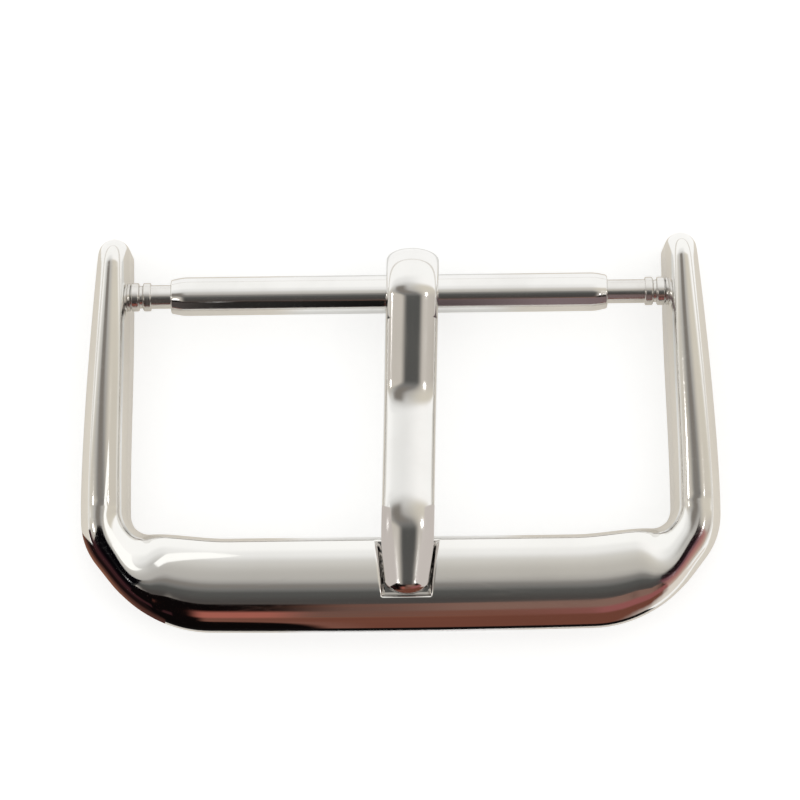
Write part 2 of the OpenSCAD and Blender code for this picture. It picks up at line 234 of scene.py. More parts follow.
def colourMix(tree, share, a, b):
    node = addNode(tree, "ShaderNodeMix", {"Factor": share}, data_type="RGBA")
    for label, colour in (("A", a), ("B", b)):
        isSocket = isinstance(colour, bpy.types.NodeSocket)
        plug(tree, node.inputs[label], colour if isSocket else (*colour, 1))
    return node.outputs["Result"]


# Five steels, each with its colour, gloss and scratches
steelLook = {
    "frameSteel": {
        "colour": (0.84, 0.832, 0.815), "dull": (0.74, 0.725, 0.70),
        "rough": 0.055, "roughSpread": 0.07, "smudgeScale": 240.0,
        "scratchDepth": 0.05, "scratchTurn": 0.12, "scratchScale": (260.0, 3800.0, 900.0),
    },
    "tongueSteel": {
        "colour": (0.83, 0.822, 0.81), "dull": (0.72, 0.71, 0.69),
        "rough": 0.065, "roughSpread": 0.07, "smudgeScale": 320.0,
        "scratchDepth": 0.07, "scratchTurn": 0.0, "scratchScale": (4200.0, 260.0, 900.0),
    },
    "tubeSteel": {
        "colour": (0.82, 0.812, 0.80), "dull": (0.70, 0.69, 0.67),
        "rough": 0.08, "roughSpread": 0.06, "smudgeScale": 420.0,
        "scratchDepth": 0.06, "scratchTurn": 0.0, "scratchScale": (5200.0, 180.0, 180.0),
    },
    "pinSteel": {
        "colour": (0.74, 0.725, 0.705), "dull": (0.52, 0.48, 0.44),
        "rough": 0.14, "roughSpread": 0.10, "smudgeScale": 700.0,
        "scratchDepth": 0.12, "scratchTurn": 0.0, "scratchScale": (6000.0, 200.0, 200.0),
    },
    "springSteel": {
        "colour": (0.50, 0.505, 0.515), "dull": (0.36, 0.36, 0.37),
        "rough": 0.28, "roughSpread": 0.12, "smudgeScale": 900.0,
        "scratchDepth": 0.15, "scratchTurn": 0.0, "scratchScale": (900.0, 2600.0, 2600.0),
    },
}
# What all the steels share
grainSet = {
    "ior": 2.4, "bumpDistance": 2e-6,
    "fineDetail": 6.0, "fineRough": 0.62, "fineShare": 0.5,
    "deepScale": 0.35, "deepDetail": 2.0, "deepBend": 0.4, "deepWidth": 0.012,
    "deepRough": 0.05, "deepHeight": -0.6,
    "smudgeDetail": 5.0, "smudgeRough": 0.55, "smudgeEdges": (0.42, 0.72), "smudgeTint": 0.35,
}


def steel(name, s, g):
    mat = bpy.data.materials.new(name)
    mat.use_nodes = True
    tree = mat.node_tree
    shader = tree.nodes["Principled BSDF"].inputs
    shader["Metallic"].default_value = 1.0
    shader["IOR"].default_value = g["ior"]
    place = objectPlace(tree)

    # long fine scratches from polishing
    turn = (0.0, 0.0, s["scratchTurn"])
    stretch = {"Vector": place, "Rotation": turn, "Scale": s["scratchScale"]}
    turned = addNode(tree, "ShaderNodeMapping", stretch).outputs["Vector"]
    fine = noise(tree, turned, Scale=1.0, Detail=g["fineDetail"], Roughness=g["fineRough"])

    # a few deeper ones, where the noise passes its middle
    deep = noise(
        tree, turned, Scale=g["deepScale"], Detail=g["deepDetail"], Distortion=g["deepBend"],
    )
    line = calc(tree, "ABSOLUTE", calc(tree, "SUBTRACT", deep, 0.5))
    line = calc(tree, "DIVIDE", line, g["deepWidth"])
    line = calc(tree, "SUBTRACT", 1.0, line, useClamp=True)

    # handling marks, broad and soft
    smudge = noise(
        tree, place, Scale=s["smudgeScale"], Detail=g["smudgeDetail"], Roughness=g["smudgeRough"],
    )
    mark = smoothStep(tree, smudge, *g["smudgeEdges"])

    tint = colourMix(tree, times(tree, mark, g["smudgeTint"]), s["colour"], s["dull"])
    tree.links.new(tint, shader["Base Color"])

    spread = times(tree, mark, s["roughSpread"])
    grain = times(tree, fine, s["roughSpread"] * g["fineShare"])
    rough = calc(tree, "ADD", calc(tree, "ADD", spread, grain), s["rough"])
    rough = calc(tree, "MULTIPLY_ADD", line, g["deepRough"], rough)
    tree.links.new(rough, shader["Roughness"])

    height = calc(tree, "MULTIPLY_ADD", line, g["deepHeight"], fine)
    bump = addNode(tree, "ShaderNodeBump", {
        "Strength": s["scratchDepth"], "Distance": g["bumpDistance"], "Height": height,
    })
    tree.links.new(bump.outputs["Normal"], shader["Normal"])
    return mat


metals = {name: steel(name, s, grainSet) for name, s in steelLook.items()}
print("metals mixed")


# Frame: a U of steel whose section changes from arm to front bar
frameSet = {
    "strapW": 18.0, "reach": 11.3, "frontW": 3.08,
    # the arms widen and spread towards the corners
    "armLugW": 1.21, "armFrontW": 1.57, "armWidening": 1.4, "armSpread": 0.14, "straight": 0.1,
    # their free ends
    "lugTail": 1.9, "lugRound": 0.45, "lugFall": 0.9,
    # outer corners, inner corners and the bow of the front bar's edges
    "cornerAlong": 2.85, "cornerAcross": 2.2, "cornerArmR": 2.4, "cornerFrontR": 4.2,
    "innerR": 0.8, "frontBow": 0.08, "innerEdgeRise": 0.18, "innerEdgeRun": 2.6,
    # heights from the strap bar's axis, and where across the ridge lies
    "underside": 1.6, "lugTop": 1.4, "frontTop": 0.8,
    "armRidge": 0.52, "frontRidge": 0.45, "ridgeSinking": 1.6,
    # how far the top falls from the ridge to each side, and how square it is there
    "armInnerFall": 1.0, "armOuterFall": 0.95, "frontInnerFall": 0.65, "frontOuterFall": 1.25,
    "frontInnerSquare": 2.7, "frontOuterSquare": 2.3,
    "faceEnd": 9.1, "faceValley": 1.3,  # from front bar to arm
    "edgeBevel": 0.12, "bevelShare": 0.4,
    "boreD": 0.8, "boreDepth": 0.7, "boreSpare": 0.6, "boreSides": 64,
    # how finely it is cut along its length
    "outerArcSteps": 16, "innerArcSteps": 24, "frontSteps": 12,
    "endSteps": 14, "fallSteps": 8, "armSteps": 46, "cornerSteps": 64,
    "barStep": 0.06, "barStartRings": 18, "barSteps": 44,
    "notchSpan": (-1.45, 1.85), "notchSteps": 112,
    # and round its section; angles lie closer together where the notch ends
    "bevelSteps": 4, "underShares": (0.5, 0.9), "wallShares": (0.06, 0.5, 0.94),
    "innerAngles": [*(90 - 3.75 * i for i in range(24)), 0],
    "outerAngles": [
        4, 8, 11, 13, *(14 + 0.7 * i for i in range(16)), *(26 + 4 * i for i in range(16)), 90,
    ],
    "smoothAngle": 35, "boredSmoothAngle": 38, "wallWeight": 60,
}
# Notch in the front bar's face, narrower towards its end
notchSet = {
    "start": 8.22, "end": 10.23, "shift": 0.2, "endShift": 0.161, "halfBack": 1.0, "halfEnd": 0.79,
    "lipW": 0.15, "lipDepth": 0.1, "wallRun": 0.07, "floorDrop": 0.465,
    "tipY": 10.15, "tipZ": 0.66, "archY": 7.5, "archZ": 1.2,
    "lowest": -0.4, "halfReach": 2.4, "forwardReach": (8.0, 10.8),  # nothing changes beyond these
}


def frameOutline(s):
    # the right half seen from above: arm's sides, outer outline and the arc of the inner corner
    halfW = s["strapW"] / 2
    o = {"halfW": halfW}
    o["inX"] = halfW + s["armSpread"]
    o["outX"] = o["inX"] + s["armFrontW"]
    o["lugOutX"] = halfW + s["armLugW"]
    o["innerY"] = s["frontW"] - s["reach"]
    turn = math.atan(s["cornerAcross"] / s["cornerAlong"])
    o["cornerY"] = s["straight"] + max(
        s["cornerAlong"] - s["reach"] + s["cornerArmR"] * math.tan(turn / 2),
        o["innerY"] + s["innerEdgeRise"] + s["innerR"],
    )
    o["frontX"] = o["inX"] - s["innerR"]
    armEnd = (o["outX"], o["cornerY"])
    bevelTop = (o["outX"], s["cornerAlong"] - s["reach"])
    bevelFoot = (o["outX"] - s["cornerAcross"], -s["reach"])
    frontMid = (0.0, -s["reach"])
    steps = s["outerArcSteps"]
    armArc = roundedCorner(armEnd, bevelTop, bevelFoot, s["cornerArmR"], steps)
    frontArc = roundedCorner(bevelTop, bevelFoot, frontMid, s["cornerFrontR"], steps)
    outer = [armEnd] + armArc + frontArc + stepsTo(frontArc[-1], frontMid, s["frontSteps"])
    o["outer"] = [(x, y + s["frontBow"] * min(1, x / bevelFoot[0]) ** 2) for x, y in outer]
    o["outerRun"] = runOf(o["outer"])
    o["outerX"], o["outerY"] = zip(*o["outer"])
    start = (o["inX"], o["cornerY"])
    corner = (o["inX"], innerEdgeY(s, o, o["frontX"]))
    arc = [start]
    arc += roundedCorner(start, corner, (0.0, corner[1]), s["innerR"], s["innerArcSteps"])
    o["arcRun"] = runOf(arc)
    o["arcX"], o["arcY"] = zip(*arc)
    o["cornerRun"] = lookUp(o["frontX"], o["outerX"], o["outerRun"])
    return o


def innerEdgeY(s, o, x):
    return o["innerY"] + s["innerEdgeRise"] * ease((x - o["frontX"]) / s["innerEdgeRun"] + 1)


def ridgeZ(s, o, y):
    share = clamp((s["lugTail"] - y) / (s["lugTail"] - o["innerY"]))
    return mix(s["lugTop"], s["frontTop"], share ** s["ridgeSinking"])


def frameRing(s, inner, outer, crestZ, full=1.0):
    # the section between an inner and an outer point; full below 1 draws it in to its middle
    mid = pointMix(inner, outer, 0.5)
    front = ease((s["faceEnd"] - mid[0]) / s["faceValley"])  # 0 on the arm, 1 on the front bar
    a, b = pointMix(mid, inner, full), pointMix(mid, outer, full)
    outside = (1 - s["armRidge"]) * min(1, s["armFrontW"] / math.dist(inner, outer))
    ridge = mix(1 - outside, s["frontRidge"], front)
    inFall = full * mix(s["armInnerFall"], s["frontInnerFall"], front)
    outFall = full * mix(s["armOuterFall"], s["frontOuterFall"], front)
    inPower = 2 / mix(2, s["frontInnerSquare"], front)
    outPower = 2 / mix(2, s["frontOuterSquare"], front)
    low, bevel = -s["underside"], s["edgeBevel"]
    foot = min(s["bevelShare"], bevel / math.dist(a, b))
    turns = [math.radians(90 * i / s["bevelSteps"]) for i in range(s["bevelSteps"] + 1)]

    # (share of the way across, height): inner half of the underside, lower edge and upright wall
    profile = [(mix(0.5, foot, t), low) for t in s["underShares"]]
    profile += [(foot * (1 - math.sin(t)), low + bevel * (1 - math.cos(t))) for t in turns]
    profile += [(0.0, mix(low + bevel, crestZ - inFall, t)) for t in s["wallShares"]]
    # the top, up to the ridge and down again
    for t in map(math.radians, s["innerAngles"]):
        across = ridge * (1 - math.sin(t) ** inPower)
        profile.append((across, crestZ - inFall * (1 - math.cos(t) ** inPower)))
    for t in map(math.radians, s["outerAngles"]):
        across = mix(ridge, 1, math.sin(t) ** outPower)
        profile.append((across, crestZ - outFall * (1 - math.cos(t) ** outPower)))
    # outer wall, lower edge and underside
    profile += [(1.0, mix(crestZ - outFall, low + bevel, t)) for t in s["wallShares"]]
    profile += [(1 - foot * (1 - math.cos(t)), low + bevel * (1 - math.sin(t))) for t in turns]
    profile.append((mix(0.5, 1 - foot, s["underShares"][-1]), low))
    return [(*pointMix(a, b, share), z) for share, z in profile]


def notched(n, x, y, z):
    # height of a point of the frame once the notch is pressed in
    forward = -y
    near, far = n["forwardReach"]
    if z < n["lowest"] or abs(x) > n["halfReach"] or forward < near or forward > far:
        return z
    t = clamp((forward - n["start"]) / (n["end"] - n["start"]))
    centre = mix(n["shift"], n["endShift"], t)
    half = mix(n["halfBack"], n["halfEnd"], t)
    lipW = mix(n["lipW"], n["lipW"] / 2, t)
    side = abs(x - centre) - half
    ahead = forward - n["end"]
    out = max(side, ahead) if side < 0 or ahead < 0 else math.hypot(side, ahead)
    if out >= lipW:
        return z
    rise = (n["tipY"] - forward) * (n["archZ"] - n["tipZ"]) / (n["tipY"] - n["archY"])
    floorZ = n["tipZ"] + rise - n["floorDrop"]
    if out >= 0:
        drop = n["lipDepth"] * (1 - math.sqrt(1 - (1 - out / lipW) ** 2))
        return max(z - drop, min(z, floorZ))
    lip = z - n["lipDepth"]
    down = ease(-out / n["wallRun"])
    return min(z, mix(max(lip, min(z, floorZ)), floorZ, down))


def frameRings(s):
    # all sections, from the left arm's free end to the right arm's
    o = frameOutline(s)

    def armRing(y):
        fallen = clamp((y - s["lugTail"] + s["lugFall"]) / s["lugFall"])
        crest = ridgeZ(s, o, y) - s["lugFall"] * (1 - math.sqrt(1 - fallen ** 2))
        share = math.sqrt(1 - clamp((y - s["lugTail"] + s["lugRound"]) / s["lugRound"]) ** 2)
        inX = o["halfW"] + s["armSpread"] * ease(y / o["cornerY"])
        outX = mix(o["outX"], o["lugOutX"], max(0, 1 - y / o["cornerY"]) ** s["armWidening"])
        return frameRing(s, (inX, y), (outX, y), crest, share)

    def cornerRing(t):
        dIn, dOut = o["arcRun"][-1] * t, o["cornerRun"] * t
        inner = [lookUp(dIn, o["arcRun"], values) for values in (o["arcX"], o["arcY"])]
        outer = [lookUp(dOut, o["outerRun"], values) for values in (o["outerX"], o["outerY"])]
        return frameRing(s, inner, outer, ridgeZ(s, o, inner[1]))

    def mirrored(ring):
        return [(-x, y, z) for x, y, z in ring]

    def barRing(x, side):
        inner = innerEdgeY(s, o, x)
        outer = lookUp(x, o["outerX"], o["outerY"])
        ring = frameRing(s, (x, inner), (x, outer), ridgeZ(s, o, inner))
        return mirrored(ring) if side < 0 else ring

    def barPlaces(end):  # from the corner to the notch, closer together at the corner
        places = [o["frontX"] - s["barStep"] * i for i in range(s["barStartRings"])]
        first, steps = places[-1], s["barSteps"]
        return places + [mix(first, end, i / steps) for i in range(1, steps)]

    tail, fallEnd = s["lugTail"], s["lugTail"] - s["lugFall"]
    arm = []
    for i in range(1, s["endSteps"] + 1):  # the rounded free end
        t = math.radians(90 * i / s["endSteps"])
        arm.append(armRing(tail - s["lugRound"] * (1 - math.cos(t))))
    for i in range(1, s["fallSteps"] + 1):
        arm.append(armRing(tail - mix(s["lugRound"], s["lugFall"], i / s["fallSteps"])))
    for i in range(1, s["armSteps"]):
        arm.append(armRing(mix(fallEnd, o["cornerY"], i / s["armSteps"])))
    arm += [cornerRing(i / s["cornerSteps"]) for i in range(s["cornerSteps"])]

    notchLeft, notchRight = s["notchSpan"]
    steps = s["notchSteps"]
    middle = [mix(notchLeft, notchRight, i / steps) for i in range(steps + 1)]
    left = [mirrored(ring) for ring in arm] + [barRing(x, -1) for x in barPlaces(-notchLeft)]
    left += [barRing(abs(x), -1 if x < 0 else 1) for x in middle]
    right = arm + [barRing(x, 1) for x in barPlaces(notchRight)]
    return left + right[::-1]


def boreDrill(s):
    # two cylinders where the strap bar's pivots go into the arms
    length = (s["boreDepth"] + s["boreSpare"]) * mm
    radius = s["boreD"] / 2 * mm
    lying = Matrix.Rotation(math.radians(90), 4, "Y")
    bm = bmesh.new()
    for side in (-1, 1):
        middle = side * (s["strapW"] / 2 * mm + s["boreDepth"] * mm - length / 2)
        bmesh.ops.create_cone(
            bm, cap_ends=True, segments=s["boreSides"], radius1=radius, radius2=radius,
            depth=length, matrix=Matrix.Translation((middle, 0, 0)) @ lying,
        )
    mesh = bpy.data.meshes.new("drill")
    bm.to_mesh(mesh)
    bm.free()
    return newObject("drill", mesh)


def frameShape(s, material):
    rings = frameRings(s)
    sides = len(rings[0])
    points = [(x, y, notched(notchSet, x, y, z)) for ring in rings for x, y, z in ring]
    faces = [tuple(range(sides)), tuple(range(len(points) - sides, len(points)))]
    for k in range(len(rings) - 1):
        for j in range(sides):
            a, b = k * sides + j, k * sides + (j + 1) % sides
            faces.append((a, a + sides, b + sides, b))
    piece = meshPiece("frameSteelwork", points, faces, material, s["smoothAngle"])

    drill = boreDrill(s)
    cut = piece.modifiers.new("bores", "BOOLEAN")
    cut.operation = "DIFFERENCE"
    cut.solver = "EXACT"
    cut.object = drill
    bakeModifiers(piece)
    bpy.data.objects.remove(drill)
    shadeSmooth(piece, s["boredSmoothAngle"])
    weigh = piece.modifiers.new("flatWalls", "WEIGHTED_NORMAL")
    weigh.keep_sharp = True
    weigh.weight = s["wallWeight"]
    return bakeModifiers(piece)


frameSteelwork = frameShape(frameSet, metals["frameSteel"])
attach(frameSteelwork, "frame")
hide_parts("frame")
print("frame shaped,", len(frameSteelwork.data.polygons), "faces")


# Tongue: a crowned strip that follows its middle line, from the roll round the bar to the notch
tongueSet = {
    "width": 1.76, "tipWidth": 1.46, "thick": 0.85, "crown": 0.42, "lowPower": 0.22,
    "shift": 0.48, "lean": 1.8,  # it sits right of the middle and leans to the left
    # roll round the bar, then (forward, up) of the line's bends and its end
    "eyeR": 0.7, "rollAngle": 276.0, "sag": (3.6, 0.38), "arch": (7.5, 1.2), "tip": (10.15, 0.66),
    "bendR": 3.2, "tipRound": 0.4, "tipKeep": 0.38,
    "taperAfter": 4.6,  # it narrows from this far in front of the sag
    # how finely it is cut
    "eyeSteps": 120, "backSteps": 16, "bendSteps": 24, "middleSteps": 20, "tipSteps": 12,
    "around": 96, "smoothAngle": 40,
}


def tongueLine(s):
    # middle line as (distance towards the front bar, height), from the roll's open end to the tip
    rollR = s["eyeR"] + s["thick"] / 2
    sagY, sagZ = s["sag"]
    leave = 90 - math.degrees(math.atan2(sagZ, sagY))
    leave -= math.degrees(math.acos(rollR / math.hypot(sagY, sagZ)))
    line = []
    for i in range(s["eyeSteps"] + 1):
        t = math.radians(mix(-s["rollAngle"], leave, i / s["eyeSteps"]))
        line.append((rollR * math.sin(t), rollR * math.cos(t)))
    sagBend = roundedCorner(line[-1], s["sag"], s["arch"], s["bendR"], s["bendSteps"])
    archBend = roundedCorner(s["sag"], s["arch"], s["tip"], s["bendR"], s["bendSteps"])
    line += stepsTo(line[-1], sagBend[0], s["backSteps"], False) + sagBend
    line += stepsTo(sagBend[-1], archBend[0], s["middleSteps"], False) + archBend
    roundShare = s["tipRound"] / math.dist(s["tip"], archBend[-1])
    nearTip = pointMix(s["tip"], archBend[-1], roundShare)
    line += stepsTo(archBend[-1], nearTip, s["tipSteps"])
    for i in range(1, s["tipSteps"] + 1):  # closer together as the tip rounds off
        t = math.radians(90 * i / s["tipSteps"])
        line.append(pointMix(nearTip, s["tip"], math.sin(t)))
    return line


def tongueTree(s):
    tree = bpy.data.node_groups.new("stripAlongLine", "GeometryNodeTree")

    def newSocket(label, kind, way="INPUT"):
        return tree.interface.new_socket(label, in_out=way, socket_type="NodeSocket" + kind)

    newSocket("Line", "Geometry")
    sizes = {
        "Width": s["width"], "Tip width": s["tipWidth"], "Thickness": s["thick"],
        "Crown": s["crown"], "Taper start": s["sag"][0] + s["taperAfter"],
        "Taper end": s["tip"][0],
    }
    for label, value in sizes.items():
        newSocket(label, "Float").default_value = value * mm
    newSocket("Points around", "Int").default_value = s["around"]
    newSocket("Metal", "Material")
    newSocket("Strip", "Geometry", "OUTPUT")
    given = addNode(tree, "NodeGroupInput").outputs

    def pointParts():
        return partsOf(tree, addNode(tree, "GeometryNodeInputPosition").outputs["Position"])

    def squared(value):
        return calc(tree, "POWER", calc(tree, "ABSOLUTE", value), s["lowPower"])

    # section: a circle pushed into a crowned top and a squared lower half with eased corners
    circle = addNode(tree, "GeometryNodeCurvePrimitiveCircle", {
        "Resolution": given["Points around"], "Radius": 1.0,
    }, mode="RADIUS")
    onCircle = pointParts()
    cx, cy = onCircle["X"], onCircle["Y"]
    half = times(tree, given["Width"], 0.5)
    shoulder = calc(tree, "SUBTRACT", times(tree, given["Thickness"], 0.5), given["Crown"])
    sideH = calc(tree, "SUBTRACT", given["Thickness"], given["Crown"])
    topX = times(tree, cx, half)
    topY = calc(tree, "MULTIPLY_ADD", calc(tree, "ABSOLUTE", cy), given["Crown"], shoulder)
    lowX = times(tree, times(tree, calc(tree, "SIGN", cx), squared(cx)), half)
    lowY = calc(tree, "SUBTRACT", shoulder, times(tree, squared(cy), sideH))
    isTop = calc(tree, "GREATER_THAN", cy, 0.0)
    isLow = calc(tree, "SUBTRACT", 1.0, isTop)

    def either(top, low):
        return calc(tree, "ADD", times(tree, top, isTop), times(tree, low, isLow))

    place = addNode(tree, "ShaderNodeCombineXYZ", {
        "X": either(topX, lowX),
        "Y": times(tree, either(topY, lowY), -1.0),  # the line's own up is down
    })
    section = addNode(tree, "GeometryNodeSetPosition", {
        "Geometry": circle.outputs["Curve"], "Position": place.outputs["Vector"],
    })
    sweep = addNode(tree, "GeometryNodeCurveToMesh", {
        "Curve": given["Line"], "Profile Curve": section.outputs["Geometry"], "Fill Caps": True,
        "Scale": addNode(tree, "GeometryNodeInputRadius").outputs["Radius"],
    })

    # the strip narrows towards the tip
    onStrip = pointParts()
    tipShare = calc(tree, "DIVIDE", given["Tip width"], given["Width"])
    forward = times(tree, onStrip["Y"], -1.0)
    taper = smoothStep(tree, forward, given["Taper start"], given["Taper end"], 1.0, tipShare)
    narrowed = addNode(tree, "ShaderNodeCombineXYZ", {
        "X": times(tree, onStrip["X"], taper), "Y": onStrip["Y"], "Z": onStrip["Z"],
    })
    tapered = addNode(tree, "GeometryNodeSetPosition", {
        "Geometry": sweep.outputs["Mesh"], "Position": narrowed.outputs["Vector"],
    })

    real = addNode(tree, "GeometryNodeRealizeInstances", {"Geometry": tapered.outputs["Geometry"]})
    metal = addNode(tree, "GeometryNodeSetMaterial", {
        "Geometry": real.outputs["Geometry"], "Material": given["Metal"],
    })
    addNode(tree, "NodeGroupOutput", {"Strip": metal.outputs["Geometry"]})
    return tree


def tongueShape(s, material):
    line = tongueLine(s)
    run = runOf(line)
    curve = bpy.data.curves.new("tongueStrip", "CURVE")
    curve.dimensions = "3D"
    spline = curve.splines.new("POLY")
    spline.points.add(len(line) - 1)
    for point, (y, z), d in zip(spline.points, line, run):
        point.co = (0, -y * mm, z * mm, 1)
        near = clamp((d - run[-1] + s["tipRound"]) / s["tipRound"])
        point.radius = math.sqrt(1 - (1 - s["tipKeep"] ** 2) * near ** 2)
    piece = newObject("tongueStrip", curve)
    tree = tongueTree(s)
    sweep = piece.modifiers.new("stripAlongLine", "NODES")
    sweep.node_group = tree
    sockets = tree.interface.items_tree
    ids = {item.name: item.identifier for item in sockets if item.in_out == "INPUT"}
    sweep[ids["Metal"]] = material
    piece = bakeModifiers(piece)
    lean = Matrix.Rotation(math.radians(-s["lean"]), 4, "Z")
    mendMesh(piece.data, Matrix.Translation((s["shift"] * mm, 0, 0)) @ lean)
    shadeSmooth(piece, s["smoothAngle"])
    return piece


tongueStrip = tongueShape(tongueSet, metals["tongueSteel"])
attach(tongueStrip, "tongue")
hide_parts("tongue")
print("tongue bent,", len(tongueStrip.data.polygons), "faces")


# Strap bar: tube with rolled-in ends, two turned pins and the coil spring between them
barSet = {
    "halfStrap": 9, "neck": 1.65, "tubeD": 1.3, "tubeWall": 0.11, "tubeShift": -0.3,
    "crimpLen": 0.4, "crimpDraw": 0.16, "crimpRound": 0.25, "lipIn": 0.03, "lipDown": 0.05,
    "shaftD": 0.8, "collarD": 0.96, "collarLen": 0.25,
    "grooveW": 0.16, "grooveDepth": 0.1, "grooveSlope": 0.03,
    "pivotD": 0.72, "pivotLen": 0.6, "pivotBevel": 0.12, "headLen": 0.9, "headSpare": 0.1,
    "shaftPlay": 0.02, "headPlay": 0.02, "endPlay": 0.02,
    # roundings of the edges
    "edge": 0.035, "boreEdge": 0.02, "pivotEdge": 0.04, "grooveEdge": 0.02,
    "shaftEdge": 0.015, "headEdge": 0.08,
    "arcSteps": 5, "roomShare": 0.45, "supportShare": 0.04, "straightWithin": 0.02,
    "tubeAround": 96, "pinAround": 72, "smoothAngle": 50,
}


def easedOutline(s, corners, closed):
    # (x, radius, rounding) corners become an outline with small arcs
    outline = []
    count = len(corners)
    for i, (x, r, rounding) in enumerate(corners):
        if not closed and i in (0, count - 1):
            outline.append((x, r))
            continue
        before, after = corners[i - 1][:2], corners[(i + 1) % count][:2]
        room = s["roomShare"] * min(math.dist(before, (x, r)), math.dist(after, (x, r)))
        u, v = Vector(before) - Vector((x, r)), Vector(after) - Vector((x, r))
        half = u.angle(v) / 2
        radius = min(rounding, room) * math.tan(half)
        if rounding == 0 or abs(math.pi / 2 - half) < s["straightWithin"]:
            outline.append((x, r))
            continue
        arc = roundedCorner(before, (x, r), after, radius, s["arcSteps"])
        outline.append(pointMix(arc[0], before, s["supportShare"]))
        outline += arc
        outline.append(pointMix(arc[-1], after, s["supportShare"]))
    return outline


def turnedPiece(name, s, corners, closed, material, around):
    points, faces, rings = [], [], []
    for x, r in easedOutline(s, corners, closed):
        if r == 0:  # the turning axis
            rings.append([len(points)])
            points.append((x, 0, 0))
            continue
        rings.append(list(range(len(points), len(points) + around)))
        for k in range(around):
            t = 2 * math.pi * k / around
            points.append((x, r * math.cos(t), r * math.sin(t)))
    pairs = list(zip(rings, rings[1:])) + ([(rings[-1], rings[0])] if closed else [])
    for a, b in pairs:
        for k in range(around):
            n = (k + 1) % around
            if len(a) == 1:
                faces.append((a[0], b[n], b[k]))
            elif len(b) == 1:
                faces.append((a[k], a[n], b[0]))
            else:
                faces.append((a[k], a[n], b[n], b[k]))
    return meshPiece(name, points, faces, material, s["smoothAngle"])


def tubeShape(s, material):
    half = s["halfStrap"] - s["neck"]
    bore = s["tubeD"] / 2 - s["tubeWall"]
    mouth = s["shaftD"] / 2 + s["shaftPlay"]
    end = (s["tubeD"] - s["crimpDraw"]) / 2
    inside = s["boreEdge"]
    side = [  # the right half, from the outside round the mouth to the bore
        (half - s["crimpLen"], s["tubeD"] / 2, s["crimpRound"]),
        (half - s["lipIn"], end, s["edge"]),
        (half, end - s["lipDown"], s["edge"]),
        (half, mouth, inside),
        (half - s["crimpLen"], mouth, inside),
        (half - s["crimpLen"] - s["headSpare"], bore, inside),
    ]
    corners = side + [(-x, r, rounding) for x, r, rounding in side[::-1]]
    shifted = [(x + s["tubeShift"], r, rounding) for x, r, rounding in corners]
    return turnedPiece("barTube", s, shifted, True, material, s["tubeAround"])


def pinShape(name, s, side, material):
    # from the pivot's end face, past the arm at 0, to the head inside the tube
    e = s["edge"]
    pivotR, collarR, shaftR = s["pivotD"] / 2, s["collarD"] / 2, s["shaftD"] / 2
    grooveR = collarR - s["grooveDepth"]
    headR = s["tubeD"] / 2 - s["tubeWall"] - s["headPlay"]
    first = -s["endPlay"]
    front = first - s["collarLen"]
    back = front - s["grooveW"]
    last = first - (2 * s["collarLen"] + s["grooveW"])
    headFrom = -(s["neck"] + abs(s["tubeShift"]) + s["crimpLen"] + s["headSpare"])
    headTo = headFrom - s["headLen"]
    corners = [
        (s["pivotLen"], 0.0, 0),
        (s["pivotLen"], pivotR - s["pivotBevel"], s["pivotEdge"]),
        (s["pivotLen"] - s["pivotBevel"], pivotR, s["pivotEdge"]),
        (first, pivotR, 0), (first, collarR, e), (front, collarR, e),
        (front - s["grooveSlope"], grooveR, s["grooveEdge"]),
        (back + s["grooveSlope"], grooveR, s["grooveEdge"]),
        (back, collarR, e), (last, collarR, e),
        (last, shaftR, s["shaftEdge"]), (headFrom, shaftR, s["shaftEdge"]),
        (headFrom, headR, e), (headTo, headR, s["headEdge"]), (headTo, 0.0, 0),
    ]
    placed = [(side * (s["halfStrap"] + x), r, rounding) for x, r, rounding in corners]
    return turnedPiece(name, s, placed, False, material, s["pinAround"])


barTube = tubeShape(barSet, metals["tubeSteel"])
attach(barTube, "strap_bar")
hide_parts("bar_tube")
for name, body, side in (("leftPinTurned", "left_pin", -1), ("rightPinTurned", "right_pin", 1)):
    pin = pinShape(name, barSet, side, metals["pinSteel"])
    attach(pin, body)
    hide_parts(body)
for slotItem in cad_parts["coil_spring"].material_slots:
    slotItem.material = metals["springSteel"]
print("strap bar turned")


# Studio: all that the steel mirrors. Picture colours are given as 0 to 255.
steelReturns = 0.83  # share of the light that polished steel sends back


def lightOf(value):
    v = value / 255
    return v / 12.92 if v <= 0.04045 else ((v + 0.055) / 1.055) ** 2.4


def tone(colour):
    # light that steel shows as this picture colour
    return tuple(lightOf(c) / steelReturns for c in colour)


def board(name, corners, material, faces=None):
    mesh = bpy.data.meshes.new(name)
    mesh.from_pydata(corners, [], faces or [tuple(range(len(corners)))])
    mesh.materials.append(material)
    piece = newObject(name, mesh)
    return piece


def flat(left, right, near, far, z):
    return [(left, near, z), (right, near, z), (right, far, z), (left, far, z)]


# seen only in the steel, lighting nothing and casting no shadow: what glows on it is a painted
# reflection
def onlyInShine(piece):
    piece.visible_camera = False
    piece.visible_diffuse = False
    piece.visible_shadow = False


def glowing(name):
    mat = bpy.data.materials.new(name)
    mat.use_nodes = True
    mat.cycles.emission_sampling = "NONE"
    tree = mat.node_tree
    tree.nodes.clear()
    glow = addNode(tree, "ShaderNodeEmission")
    addNode(tree, "ShaderNodeOutputMaterial", {"Surface": glow.outputs[0]})
    return mat, tree, glow


def rampOf(tree, value, stops):
    node = addNode(tree, "ShaderNodeValToRGB", {"Fac": value})
    ramp = node.color_ramp
    ramp.interpolation = "EASE"
    while len(ramp.elements) < len(stops):
        ramp.elements.new(0.5)
    for element, (at, colour) in zip(ramp.elements, stops):
        element.position = at
        element.color = (*colour, 1)
    return node.outputs["Color"]


# Pale cloth, which glows a little for the eye and the steel so that it comes out white
clothSet = {"rough": 0.9, "glowColour": (1, 1, 0.995)}


